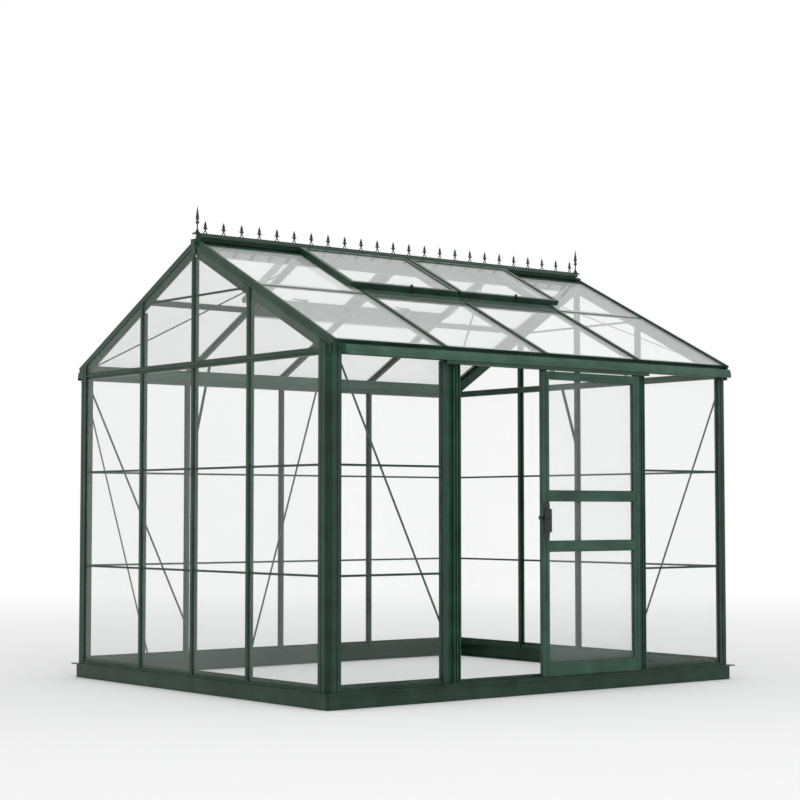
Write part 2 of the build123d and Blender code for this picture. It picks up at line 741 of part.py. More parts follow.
seat = post_face - 15      # width of a post where a strap meets its back
front_left = ((-half_l + seat, 1872.0), (-bar_pitch - 2, 428.0))
front_right = ((half_l - bar_depth - 8, 1739.0), (bar_pitch + 2, 213.0))
back_left = ((-half_l + bar_depth + 22, 1773.0), (-bar_pitch - 2, 268.0))
gable_front = ((-half_w + seat - 3, 1857.0), (-gable_bar_pitch - 2, 300.0))
gable_back = ((half_w - seat + 3, 1658.0), (gable_bar_pitch - 71, base_height + 19))
braces = [strap_front(*front_left, bar_depth), strap_front(*front_right, bar_depth),
          flip_y(strap_front(*back_left, bar_depth)), strap_gable(*gable_front, bar_depth),
          strap_gable(*gable_back, bar_depth)]
knee = strap_gable((-125, eaves_bar_height), (8, 1470.0), bar_depth, knee_width)
braces += [knee, half_turn(knee)]
save("wall_braces", braces)

roof_depth = bar_depth
brace_top_s = 120.0
brace_low_s = 1390.0


def roof_strap(x0, s0, x1, s1):
    """Flat strap under the roof bars between two (x, s) points."""
    dx = x1 - x0
    ds = s1 - s0
    run = math.hypot(dx, ds)
    ux = dx / run * strap_width / 2
    us = ds / run * strap_width / 2
    y, z = slope(0, -roof_depth)
    plane = Plane(origin=(0, y, z), x_dir=(1, 0, 0), z_dir=(0, sin_p, -cos_p))
    flat = Polygon((x0 - us, s0 + ux), (x1 - us, s1 + ux), (x1 + us, s1 - ux), (x0 + us, s0 - ux), align=None)
    return extrude(plane * flat, amount=strap_thick, dir=(0, sin_p, -cos_p))


roof_brace = roof_strap(bar_pitch, brace_top_s, half_l - 72, brace_low_s)
save("roof_braces", [roof_brace, flip_y(roof_brace), flip_x(flip_y(roof_brace))])

inner_face = bar_depth + strap_thick
bolts = []
for line in (front_left, front_right):
    bolts += [bolt_front(*point, inner_face) for point in line]
bolts += [flip_y(bolt_front(*point, inner_face)) for point in back_left]
for point in (gable_front[0], gable_front[1], gable_back[0], (-122, eaves_bar_height), (6, 1480.0)):
    bolts.append(bolt_gable(*point, inner_face))
bolts += [half_turn(item) for item in bolts[-2:]]
save("frame_bolts", bolts)


# ------------------------------------------------------------------ doorway: jamb, stop, threshold, track

def ribbed_post(start, end):
    """Flat door post with three upright ribs, standing just inside the wall plane."""
    gap = (end - start - 3 * 7) / 2
    plan = [(start, 30), (end, 30), (end, 0)]
    x = end
    for rib in range(3):
        plan.append((x, 0))
        plan.append((x - 7, 0))
        x -= 7
        if rib < 2:
            plan.append((x, 12))
            plan.append((x - gap, 12))
            x -= gap
    plan.append((start, 0))
    unique = [plan[0]]
    for point in plan[1:]:
        if math.dist(point, unique[-1]) > 0.01:
            unique.append(point)
    return along_z(front_points(unique), base_height, eave_drop)


rib_start = jamb_start + 32
jamb = ribbed_post(rib_start, jamb_end)
jamb += along_z(front_points(rect(bars_x[0] + fw, rib_start, 22, 30)), base_height, eave_drop)
save("door_jamb", [jamb])
stop_seat = block(stop_end - 8, stop_end + 1, -half_w + glass_out, -half_w + glass_in, base_height, eave_drop)
save("door_stop_post", [ribbed_post(stop_start, stop_end) - stop_seat])

threshold_section = [(0, 0), (40, 0), (40, 23), (35, 23), (35, 16), (28, 16), (28, 25), (23, 25),
                     (23, 16), (13, 16), (13, 23), (8, 23), (8, 11), (0, 11)]
threshold = along_x([(-half_w + d, base_height + z) for d, z in threshold_section],
                    jamb_end, bars_x[1] - fw)
rib_mid = -door_back - door_thick / 2 + 6
guide_rib = along_x([(-half_w + d, base_height + z) for d, z in rect(rib_mid - 1.5, rib_mid + 1.5, 0, 9)],
                    bars_x[0] - 13, stop_end)
save("door_threshold", [threshold, guide_rib])

track_section = [(0, track_low), (0, gutter_floor), (-track_reach, gutter_floor), (-track_reach, track_low),
                 (-track_reach + 14, track_low), (-track_reach + 14, track_low + 2.5),
                 (-track_reach + 2.5, track_low + 2.5), (-track_reach + 2.5, gutter_floor - 3),
                 (-3, gutter_floor - 3), (-3, track_low)]
track = along_x([(-half_w + d, z) for d, z in track_section], bars_x[0] - 13, stop_end)
save("door_track", [track])


# ------------------------------------------------------------------ door leaf (stands open)

door_right = door_left + door_width
leaf_out = door_back + door_thick


def leaf(x0, x1, z0, z1):
    return block(x0, x1, -half_w - leaf_out, -half_w - door_back, z0, z1)


def glass_groove(x0, x1, z0, z1):
    return block(x0, x1, -half_w - leaf_out + 10, -half_w - leaf_out + 10 + glass + slot, z0, z1)


groove = 8.0
stiles = []
for x0, x1, inner in ((door_left, door_left + stile, door_left + stile),
                      (door_right - stile, door_right, door_right - stile)):
    post_bar = leaf(x0, x1, door_bottom, door_top)
    post_bar -= glass_groove(inner - groove, inner + groove, door_bottom - 1, door_top + 1)
    post_bar -= along_z([(x, -half_w - leaf_out + d) for x, d in
                         rect((x0 + x1) / 2 - 2, (x0 + x1) / 2 + 2, -1, 2.5)], door_bottom - 1, door_top + 1)
    stiles.append(post_bar)
save("door_stiles", stiles)

rail_lines = [(door_top - head_rail, door_top, -1), (mid_high, mid_high + mid_rail, 0),
              (mid_low, mid_low + mid_rail, 0), (door_bottom, door_bottom + bottom_rail, 1)]
rail_in = door_left + stile
rail_out = door_right - stile
rails = []
for low, high, edge in rail_lines:
    rail = leaf(rail_in, rail_out, low, high)
    if edge <= 0:
        rail -= glass_groove(rail_in - 1, rail_out + 1, low - 1, low + groove)
    if edge >= 0:
        rail -= glass_groove(rail_in - 1, rail_out + 1, high - groove, high + 1)
    rails.append(rail)
save("door_rails", rails)

pane_in = groove - 2
door_panes = []
for low, high in ((door_bottom + bottom_rail, mid_low), (mid_low + mid_rail, mid_high),
                  (mid_high + mid_rail, door_top - head_rail)):
    door_panes.append(block(rail_in - pane_in, rail_out + pane_in, -half_w - leaf_out + 10,
                            -half_w - leaf_out + 10 + glass, low - pane_in, high + pane_in))
save("glass_door", door_panes)

roller_z = track_low + 2.5 + 0.3 + roller_radius
roller_out = track_reach - 2.5 - 1.0
hanger_back = 18.0


def door_roller(x):
    disc = Cylinder(roller_radius, roller_width) - Cylinder(axle_radius + axle_play, roller_width + 2)
    return Pos(x, -half_w - roller_out + roller_width / 2, roller_z) * Rot(90, 0, 0) * disc


def hanger(x):
    plate = block(x - 14, x + 14, -half_w - hanger_back - 4, -half_w - hanger_back, door_top, roller_z + 6)
    foot = block(x - 14, x + 14, -half_w - hanger_back - 4, -half_w - hanger_back + 8, door_top, door_top + 3)
    reach = roller_out - hanger_back - 0.5
    axle = Pos(x, -half_w - hanger_back - reach / 2, roller_z) * Rot(90, 0, 0) * Cylinder(axle_radius, reach)
    return plate + foot + axle


roller_x = [door_left + 90, door_right - 90]
save("door_hangers", [hanger(x) for x in roller_x])
save("door_roller_left", [door_roller(roller_x[0])])
save("door_roller_right", [door_roller(roller_x[1])])


def guide_shoe(x):
    shoe = block(x - 20, x + 20, -half_w + rib_mid - 5, -half_w + rib_mid + 5, base_height + 1.5, door_bottom)
    return shoe - block(x - 21, x + 21, -half_w + rib_mid - 2, -half_w + rib_mid + 2, base_height, base_height + 10)


save("door_guide_shoes", [guide_shoe(x) for x in roller_x])

# handle on the left stile, with the lock barrel and latch tongue turning in it
handle_x = door_left + stile / 2 - 2
face = -half_w - leaf_out


def door_handle():
    low = handle_z - handle_height / 2
    high = handle_z + handle_height / 2
    half = handle_width / 2
    back = block(handle_x - half, handle_x + half, face - 7, face, low, high)
    back = fillet(back.edges().filter_by(Axis.Y), 12)
    right = handle_x + half + grip_out
    grip_plan = [(handle_x - half + 2, face - 6.5), (right, face - 6.5), (right, face - 16), (right - 12, face - 27),
                 (handle_x - 8, face - 27), (handle_x - half + 2, face - 16)]
    grip = along_z(grip_plan, low + 34, high - 34)
    body = back + grip
    sweep = block(handle_x - half - 5, handle_x + half - 4, face - 6.5, face + 1, lock_z - 26, lock_z + 16)
    bore = Pos(handle_x, face - 15, lock_z) * Rot(90, 0, 0) * Cylinder(lock_radius + pin_play, 40)
    return body - sweep - bore


def door_latch():
    barrel = Pos(handle_x, face - 15, lock_z) * Rot(90, 0, 0) * Cylinder(lock_radius, 28)
    tongue = block(handle_x - 58, handle_x, face - 5.7, face - 1.2, lock_z - 7, lock_z + 7)
    hook = block(handle_x - 58, handle_x - 50, face - 5.7, face - 1.2, lock_z - 7, lock_z + 12)
    slot_cut = block(handle_x - 1, handle_x + 1, face - 30, face - 27, lock_z - 4, lock_z + 4)
    return barrel + tongue + hook - slot_cut


save("door_handle", [door_handle()])
save("door_latch", [door_latch()])


# ------------------------------------------------------------------ roof vents

def rail_members(x0, x1):
    """Four members of a vent frame, with a groove for the glass on their inner sides."""
    g0 = vent_glass_low
    g1 = g0 + glass + slot
    r = vent_rebate
    side = [(0, vent_low), (vent_side, vent_low), (vent_side, g0), (vent_side - r, g0), (vent_side - r, g1),
            (vent_side, g1), (vent_side, vent_high), (0, vent_high)]
    outer_side = [(0, -vent_skirt), (4, -vent_skirt), (4, vent_low)] + side[1:]
    s_in = vent_start + vent_rail
    s_out = vent_end - vent_rail
    left = slope_s([(x0 + a, n) for a, n in (outer_side if x0 + x1 < 0 else side)], s_in, s_out)
    right = slope_s([(x1 - a, n) for a, n in (side if x0 + x1 < 0 else outer_side)], s_in, s_out)
    cross = [(0, vent_low), (vent_rail, vent_low), (vent_rail, g0), (vent_rail - r, g0), (vent_rail - r, g1),
             (vent_rail, g1), (vent_rail, vent_high), (0, vent_high)]
    top = slope_x([(vent_start + a, n) for a, n in cross], x0, x1)
    bottom = slope_x([(vent_end - a, n) for a, n in cross], x0, x1)
    neck = slope_x(rect(hinge_s + hinge_bead - 1, vent_start + 1, hinge_n - 1.5, hinge_n + 1.5), x0, x1)
    y, z = slope(hinge_s, hinge_n)
    bead = Pos((x0 + x1) / 2, y, z) * Rot(0, 90, 0) * Cylinder(hinge_bead, x1 - x0)
    return [left, right, top + neck + bead, bottom]


def stay_bracket(x):
    """Bracket on the vent's bottom rail: ears for the stay, and a strap over the rail's face."""
    ear_low = stay_s + stay_width / 2 + 2
    ear = slope_x(rect(ear_low, vent_end - vent_rail, stay_n - 8, stay_n + 8), x - 9, x + 9)
    strap = slope_x(rect(vent_end, vent_end + 2.5, vent_low + 3, vent_high), x - 6, x + 6)
    pin = slope_pin(x, stay_s - stay_width / 2 - 3, stay_n, stay_pin, ear_low + 1)
    return [ear + pin, strap]


def stay_arm(x):
    """Casement stay lying along the rail: an eye on the pin, a flat arm and a turned-up tail."""
    half = stay_width / 2
    end = x - stay_length
    arm = [(x + 7, stay_n - stay_thick), (x + 7, stay_n + stay_thick), (end + 34, stay_n + 2),
           (end + 14, stay_n + 9), (end + 5, stay_n + 7.5), (end, stay_n + 1), (end + 3, stay_n - 1),
           (end + 8, stay_n + 3.5), (end + 14, stay_n + 5), (end + 34, stay_n - 2)]
    bar = slope_s(arm, stay_s - half, stay_s + half)
    return bar - slope_pin(x, stay_s - half - 2, stay_n, stay_pin + pin_play, stay_s + half + 2)


vents = {"left": (-bar_pitch - vent_reach, -vent_middle_gap), "right": (vent_middle_gap, bar_pitch + vent_reach)}
pegs = []
for hand, (x0, x1) in vents.items():
    middle = (x0 + x1) / 2 + 50
    frame = rail_members(x0, x1) + stay_bracket(middle)
    edge_x = vent_side - 6
    edge_s = vent_rail - 6
    pane = slope_x(rect(vent_start + edge_s, vent_end - edge_s, vent_glass_low, vent_glass_low + glass),
                   x0 + edge_x, x1 - edge_x)
    arm = stay_arm(middle)
    peg = slope_pin(middle, 590, -26, 3, 574)
    knob = slope_pin(middle, 574, -26, 5, 570)
    pegs += [peg + knob, flip_y(peg + knob)]
    save("vent_frame_front_" + hand, frame)
    save("vent_glass_front_" + hand, [pane])
    save("vent_stay_front_" + hand, [arm])
    save("vent_frame_back_" + hand, [flip_y(item) for item in frame])
    save("vent_glass_back_" + hand, [flip_y(pane)])
    save("vent_stay_back_" + hand, [flip_y(arm)])
save("stay_pegs", pegs)
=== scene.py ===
import math

import bmesh
import bpy
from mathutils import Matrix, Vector


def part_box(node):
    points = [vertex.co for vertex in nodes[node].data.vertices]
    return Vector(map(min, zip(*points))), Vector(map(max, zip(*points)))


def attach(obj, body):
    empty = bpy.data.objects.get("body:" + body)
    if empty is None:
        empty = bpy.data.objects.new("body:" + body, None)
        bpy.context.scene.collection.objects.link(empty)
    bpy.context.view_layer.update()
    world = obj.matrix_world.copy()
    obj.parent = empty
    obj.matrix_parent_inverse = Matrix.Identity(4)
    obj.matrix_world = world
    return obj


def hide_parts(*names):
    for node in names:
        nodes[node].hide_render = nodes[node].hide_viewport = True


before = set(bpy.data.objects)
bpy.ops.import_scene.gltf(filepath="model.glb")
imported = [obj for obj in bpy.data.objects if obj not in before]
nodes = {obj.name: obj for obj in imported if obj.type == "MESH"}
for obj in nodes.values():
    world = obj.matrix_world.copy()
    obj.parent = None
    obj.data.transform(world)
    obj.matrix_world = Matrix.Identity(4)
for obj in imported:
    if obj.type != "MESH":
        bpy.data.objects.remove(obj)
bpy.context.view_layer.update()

# ---------------------------------------------------------------- base rails, sills and threshold
# The base is rolled steel channel and the sills are aluminium extrusion, all dark green powder coat.
# The coat has a fine orange peel and faint drawn streaks that run along each bar.


def powder_group():
    """Powder coat: mottled and streaked tone, uneven gloss, and a fine orange peel."""
    group = bpy.data.node_groups.new("PowderCoat", "ShaderNodeTree")
    for name, kind in (("Vector", "NodeSocketVector"), ("Streak Vector", "NodeSocketVector"),
                       ("Deep", "NodeSocketColor"), ("Bright", "NodeSocketColor"),
                       ("Mottle", "NodeSocketFloat"), ("Gloss Break", "NodeSocketFloat"),
                       ("Base Roughness", "NodeSocketFloat")):
        group.interface.new_socket(name, in_out="INPUT", socket_type=kind)
    for name, kind in (("Color", "NodeSocketColor"), ("Roughness", "NodeSocketFloat"),
                       ("Height", "NodeSocketFloat")):
        group.interface.new_socket(name, in_out="OUTPUT", socket_type=kind)
    add, link = group.nodes.new, group.links.new
    given, out = add("NodeGroupInput"), add("NodeGroupOutput")
    cloud = add("ShaderNodeTexNoise")
    cloud.inputs["Scale"].default_value = 7.0
    cloud.inputs["Detail"].default_value = 3.0
    streak = add("ShaderNodeTexNoise")
    streak.inputs["Scale"].default_value = 190.0
    streak.inputs["Detail"].default_value = 4.0
    streak.inputs["Roughness"].default_value = 0.65
    peel = add("ShaderNodeTexNoise")
    peel.inputs["Scale"].default_value = 1400.0
    peel.inputs["Detail"].default_value = 2.0
    link(given.outputs["Vector"], cloud.inputs["Vector"])
    link(given.outputs["Streak Vector"], streak.inputs["Vector"])
    link(given.outputs["Vector"], peel.inputs["Vector"])
    both = add("ShaderNodeMath")
    both.operation = "ADD"
    link(cloud.outputs["Fac"], both.inputs[0])
    link(streak.outputs["Fac"], both.inputs[1])
    spread = add("ShaderNodeMapRange")
    spread.inputs["From Min"].default_value = 0.72
    spread.inputs["From Max"].default_value = 1.28
    link(both.outputs[0], spread.inputs["Value"])
    amount = add("ShaderNodeMath")
    amount.operation = "MULTIPLY"
    link(spread.outputs["Result"], amount.inputs[0])
    link(given.outputs["Mottle"], amount.inputs[1])
    tone = add("ShaderNodeMix")
    tone.data_type = "RGBA"
    link(amount.outputs[0], tone.inputs["Factor"])
    link(given.outputs["Deep"], tone.inputs["A"])
    link(given.outputs["Bright"], tone.inputs["B"])
    link(tone.outputs["Result"], out.inputs["Color"])
    rub = add("ShaderNodeMath")
    rub.operation = "MULTIPLY_ADD"
    link(streak.outputs["Fac"], rub.inputs[0])
    link(given.outputs["Gloss Break"], rub.inputs[1])
    link(given.outputs["Base Roughness"], rub.inputs[2])
    link(rub.outputs[0], out.inputs["Roughness"])
    mix = add("ShaderNodeMath")
    mix.operation = "MULTIPLY_ADD"
    mix.inputs[1].default_value = 0.6
    link(streak.outputs["Fac"], mix.inputs[0])
    link(peel.outputs["Fac"], mix.inputs[2])
    link(mix.outputs[0], out.inputs["Height"])
    return group


powder = powder_group()
ROOF_TILT = math.radians(26.565)


def coated(name, deep, bright, run, mottle=0.9, rough=0.36, relief=0.35, turn=0.0):
    """Powder coated metal with its streaks along one direction of the house."""
    material = bpy.data.materials.new(name)
    material.use_nodes = True
    tree = material.node_tree
    shader = tree.nodes["Principled BSDF"]
    where = tree.nodes.new("ShaderNodeTexCoord")
    along = tree.nodes.new("ShaderNodeMapping")
    along.inputs["Rotation"].default_value = (turn, 0.0, 0.0)
    along.inputs["Scale"].default_value = [0.035 if axis == run else 1.0 for axis in "xyz"]
    coat = tree.nodes.new("ShaderNodeGroup")
    coat.node_tree = powder
    coat.inputs["Deep"].default_value = (*deep, 1.0)
    coat.inputs["Bright"].default_value = (*bright, 1.0)
    coat.inputs["Mottle"].default_value = mottle
    coat.inputs["Gloss Break"].default_value = 0.22
    coat.inputs["Base Roughness"].default_value = rough - 0.11
    bump = tree.nodes.new("ShaderNodeBump")
    bump.inputs["Strength"].default_value = relief
    bump.inputs["Distance"].default_value = 0.0006
    link = tree.links.new
    link(where.outputs["Object"], along.inputs["Vector"])
    link(where.outputs["Object"], coat.inputs["Vector"])
    link(along.outputs["Vector"], coat.inputs["Streak Vector"])
    link(coat.outputs["Color"], shader.inputs["Base Color"])
    link(coat.outputs["Roughness"], shader.inputs["Roughness"])
    link(coat.outputs["Height"], bump.inputs["Height"])
    link(bump.outputs["Normal"], shader.inputs["Normal"])
    shader.inputs["IOR"].default_value = 1.5
    shader.inputs["Specular IOR Level"].default_value = 0.3
    return material


def finish_node(names, material):
    """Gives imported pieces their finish."""
    for name in names:
        mesh = nodes[name].data
        mesh.materials.clear()
        mesh.materials.append(material)


green_deep = (0.005, 0.021, 0.012)
green_bright = (0.017, 0.060, 0.036)
base_coat = coated("base coat", green_deep, green_bright, "x")
finish_node(["base_rails", "sills", "door_threshold"], base_coat)

# ---------------------------------------------------------------- corner joints, end plugs, spouts
# Moulded black polymer pieces: they close the mitred base corners, the bar ends and the gutter outlets.
# They are pressed in, with a matt spark-eroded skin.


def moulded(name, color, rough, grain, relief):
    """Moulded polymer with a spark-eroded skin."""
    material = bpy.data.materials.new(name)
    material.use_nodes = True
    tree = material.node_tree
    shader = tree.nodes["Principled BSDF"]
    where = tree.nodes.new("ShaderNodeTexCoord")
    skin = tree.nodes.new("ShaderNodeTexNoise")
    skin.inputs["Scale"].default_value = grain
    skin.inputs["Detail"].default_value = 3.0
    worn = tree.nodes.new("ShaderNodeTexNoise")
    worn.inputs["Scale"].default_value = 24.0
    tone = tree.nodes.new("ShaderNodeMix")
    tone.data_type = "RGBA"
    tone.inputs["A"].default_value = (*color, 1.0)
    tone.inputs["B"].default_value = (*[min(1.0, c * 1.7 + 0.004) for c in color], 1.0)
    gloss = tree.nodes.new("ShaderNodeMapRange")
    gloss.inputs["To Min"].default_value = rough - 0.08
    gloss.inputs["To Max"].default_value = rough + 0.12
    bump = tree.nodes.new("ShaderNodeBump")
    bump.inputs["Strength"].default_value = relief
    bump.inputs["Distance"].default_value = 0.0004
    link = tree.links.new
    link(where.outputs["Object"], skin.inputs["Vector"])
    link(where.outputs["Object"], worn.inputs["Vector"])
    link(worn.outputs["Fac"], tone.inputs["Factor"])
    link(worn.outputs["Fac"], gloss.inputs["Value"])
    link(skin.outputs["Fac"], bump.inputs["Height"])
    link(tone.outputs["Result"], shader.inputs["Base Color"])
    link(gloss.outputs["Result"], shader.inputs["Roughness"])
    link(bump.outputs["Normal"], shader.inputs["Normal"])
    return material


black_polymer = moulded("black polymer", (0.006, 0.007, 0.007), 0.5, 1100.0, 0.5)
finish_node(["base_corner_joints", "bar_end_plugs", "gutter_outlets", "door_guide_shoes"],
            black_polymer)

# ---------------------------------------------------------------- corner posts and wall bars
# Aluminium extrusions, powder coated after cutting; the corner posts are fluted on their diagonal face.
# They are bolted to the sills at the foot and to the eave rails at the head.
post_coat = coated("post coat", green_deep, green_bright, "z", mottle=0.95)
finish_node(["corner_posts", "wall_bars_front", "wall_bars_back", "gable_bars"], post_coat)

# ---------------------------------------------------------------- eaves and gutters
# Aluminium eave rails with a gutter clipped under the roof edge, capped at both ends.
# The gutter coat is a little smoother, and its green is painted lighter than the frame's as painted
# light, standing in for the light that falls on the gutter's upturned face.
gutter_coat_painted_light = coated("gutter coat painted lighter", (0.013, 0.046, 0.030), (0.044, 0.112, 0.078), "x", rough=0.33)
cross_coat = coated("cross bar coat", green_deep, green_bright, "y")
finish_node(["gutter_front", "gutter_back", "gutter_end_caps", "eave_rails"], gutter_coat_painted_light)
finish_node(["gable_eaves_bars"], cross_coat)

# ---------------------------------------------------------------- verges and roof bars
# The sloping bars: heavy two-band verge bars over the gables and slim glazing bars between them.
# Both slopes share one extrusion, so the streaks follow the slope on each side.
front_slope_coat = coated("front slope coat", green_deep, green_bright, "y", turn=-ROOF_TILT)
back_slope_coat = coated("back slope coat", green_deep, green_bright, "y", turn=ROOF_TILT)
finish_node(["verge_bars", "roof_bars_front"], front_slope_coat)
finish_node(["roof_bars_back"], back_slope_coat)

# ---------------------------------------------------------------- ridge, crest rail, roof cross bars
# The ridge is one hollow extrusion with a clipped cap; the sills under the vents and the purlins cross
# between the roof bars.  The crest rail is a flat bar screwed along the cap.
ridge_coat = coated("ridge coat", green_deep, green_bright, "x", rough=0.34)
finish_node(["ridge_beam", "ridge_end_plates", "ridge_crest_rail", "vent_sills", "roof_purlins",
             "roof_edge_strips"], ridge_coat)

# ---------------------------------------------------------------- cresting
# Cast aluminium fleurs stand in a row along the crest rail, each with crossed legs, a collar, two
# scrolls with bosses and a ribbed leaf.  They are the same casting, repeated at an even spacing.


def loft(mesh, stations, across, sides=6):
    """Tapered limb through stations of (place, half width, half thickness), flattened along `across`."""
    rings = []
    for index, (place, wide, thick) in enumerate(stations):
        before = stations[max(index - 1, 0)][0]
        after = stations[min(index + 1, len(stations) - 1)][0]
        run = (Vector(after) - Vector(before)).normalized()
        side = run.cross(across).normalized()
        ring = []
        for step in range(sides):
            angle = 2 * math.pi * step / sides
            offset = side * (wide * math.cos(angle)) + across * (thick * math.sin(angle))
            ring.append(mesh.verts.new(Vector(place) + offset))
        rings.append(ring)
    for one, two in zip(rings, rings[1:]):
        for step in range(sides):
            mesh.faces.new((one[step], one[(step + 1) % sides], two[(step + 1) % sides], two[step]))
    mesh.faces.new(list(reversed(rings[0])))
    mesh.faces.new(rings[-1])


def to_object(name, mesh, material, smooth_angle=35.0):
    """Closes a worked mesh, turns its faces outwards and puts it in the scene."""
    bmesh.ops.remove_doubles(mesh, verts=mesh.verts, dist=1e-6)
    bmesh.ops.recalc_face_normals(mesh, faces=mesh.faces)
    data = bpy.data.meshes.new(name)
    mesh.to_mesh(data)
    mesh.free()
    data.materials.append(material)
    for face in data.polygons:
        face.use_smooth = True
    data.set_sharp_from_angle(angle=math.radians(smooth_angle))
    made = bpy.data.objects.new(name, data)
    bpy.context.scene.collection.objects.link(made)
    return made


cast_coat = coated("casting coat", (0.005, 0.021, 0.013), (0.016, 0.056, 0.035), "z",
                   rough=0.42, relief=0.8)
fleur_low, fleur_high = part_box("ridge_fleurs")
FLEUR_COUNT = 24
fleur_wide = 0.033
fleur_first = fleur_low.x + fleur_wide / 2
fleur_step = (fleur_high.x - fleur_low.x - fleur_wide) / (FLEUR_COUNT - 1)
fleur_tall = fleur_high.z - fleur_low.z
deep = Vector((0, 1, 0))
u = fleur_tall / 75.0   # one real millimetre of a casting 75 mm tall

casting = bmesh.new()
loft(casting, [((0, 0, 20 * u), 4.2 * u, 2.2 * u), ((0, 0, 30 * u), 5.0 * u, 2.4 * u),
               ((0, 0, 40 * u), 9.4 * u, 2.5 * u), ((0, 0, 47 * u), 10.4 * u, 2.3 * u),
               ((0, 0, 58 * u), 7.4 * u, 1.8 * u), ((0, 0, 68 * u), 3.4 * u, 1.2 * u),
               ((0, 0, 75 * u), 0.2 * u, 0.2 * u)], deep)
for side in (-1, 1):
    loft(casting, [((side * 12.5 * u, 0, 0), 3.6 * u, 2.2 * u),
                   ((side * 9 * u, 0, 6 * u), 3.4 * u, 2.1 * u),
                   ((side * 3.5 * u, 0, 15 * u), 3.4 * u, 2.0 * u),
                   ((-side * 1.0 * u, 0, 23 * u), 2.0 * u, 2.0 * u)], deep)
    loft(casting, [((side * 1.0 * u, 0, 21 * u), 3.0 * u, 1.9 * u),
                   ((side * 5 * u, 0, 26 * u), 3.2 * u, 1.9 * u),
                   ((side * 9.5 * u, 0, 33 * u), 3.0 * u, 1.8 * u),
                   ((side * 13.4 * u, 0, 35.5 * u), 2.4 * u, 1.7 * u),
                   ((side * 15.0 * u, 0, 31.5 * u), 1.4 * u, 1.5 * u),
                   ((side * 13.2 * u, 0, 29.0 * u), 1.0 * u, 1.3 * u)], deep)
    boss = bmesh.ops.create_icosphere(casting, subdivisions=1, radius=2.6 * u)
    bmesh.ops.translate(casting, verts=boss["verts"], vec=(side * 12.6 * u, 0, 31.0 * u))
collar = bmesh.ops.create_uvsphere(casting, u_segments=10, v_segments=6, radius=4.6 * u)
for vert in collar["verts"]:
    vert.co = Vector((vert.co.x, vert.co.y * 0.55, vert.co.z * 0.42 + 21.5 * u))
one_fleur = to_object("fleur casting", casting, cast_coat, 50.0)


def tree_with(name, inputs):
    """Empty geometry tree that takes a mesh and named sizes."""
    tree = bpy.data.node_groups.new(name, "GeometryNodeTree")
    tree.interface.new_socket("Geometry", in_out="INPUT", socket_type="NodeSocketGeometry")
    for label, kind in inputs:
        tree.interface.new_socket(label, in_out="INPUT", socket_type=kind)
    tree.interface.new_socket("Geometry", in_out="OUTPUT", socket_type="NodeSocketGeometry")
    return tree, tree.nodes.new("NodeGroupInput"), tree.nodes.new("NodeGroupOutput")


def wire(tree, *runs):
    """Joins sockets, each run given as (from node, its output, to node, its input)."""
    for source, output, target, socket in runs:
        tree.links.new(source.outputs[output], target.inputs[socket])


def grow(name, tree, values, seed_mesh=None):
    """Runs a geometry tree once and keeps its result as a plain mesh object."""
    holder = bpy.data.objects.new(name + " holder", seed_mesh or bpy.data.meshes.new(name + " seed"))
    bpy.context.scene.collection.objects.link(holder)
    modifier = holder.modifiers.new(name, "NODES")
    modifier.node_group = tree
    for item in tree.interface.items_tree:
        if item.in_out == "INPUT" and item.name in values:
            modifier[item.identifier] = values[item.name]
    graph = bpy.context.evaluated_depsgraph_get()
    graph.update()
    data = bpy.data.meshes.new_from_object(holder.evaluated_get(graph))
    holder.modifiers.remove(modifier)
    bpy.data.objects.remove(holder)
    data.name = name
    made = bpy.data.objects.new(name, data)
    bpy.context.scene.collection.objects.link(made)
    return made


row_tree, given, out = tree_with("FleurRow", (
    ("Casting", "NodeSocketObject"), ("Count", "NodeSocketInt"), ("Start", "NodeSocketVector"),
    ("Step", "NodeSocketVector"), ("Finish", "NodeSocketMaterial")))
line = row_tree.nodes.new("GeometryNodeMeshLine")
piece = row_tree.nodes.new("GeometryNodeObjectInfo")
placed = row_tree.nodes.new("GeometryNodeInstanceOnPoints")
real = row_tree.nodes.new("GeometryNodeRealizeInstances")
paint = row_tree.nodes.new("GeometryNodeSetMaterial")
wire(row_tree,
     (given, "Count", line, "Count"), (given, "Start", line, "Start Location"),
     (given, "Step", line, "Offset"), (given, "Casting", piece, "Object"),
     (line, "Mesh", placed, "Points"), (piece, "Geometry", placed, "Instance"),
     (placed, "Instances", real, "Geometry"), (real, "Geometry", paint, "Geometry"),
     (given, "Finish", paint, "Material"), (paint, "Geometry", out, "Geometry"))
cresting = grow("cresting_fleurs", row_tree, {
    "Casting": one_fleur, "Count": FLEUR_COUNT, "Start": (fleur_first, 0.0, fleur_low.z),
    "Step": (fleur_step, 0.0, 0.0), "Finish": cast_coat})
bpy.data.objects.remove(one_fleur)
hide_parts("ridge_fleurs")
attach(cresting, "frame")

# ---------------------------------------------------------------- finials
# A turned aluminium spear at each end of the crest: stacked discs, a waisted stem, a bead and a long
# tapering point.  Each screws down on a stud in the end of the ridge.
finial_low, finial_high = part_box("ridge_finials")
finial_tall = finial_high.z - finial_low.z
finial_wide = (finial_high.y - finial_low.y) / 2
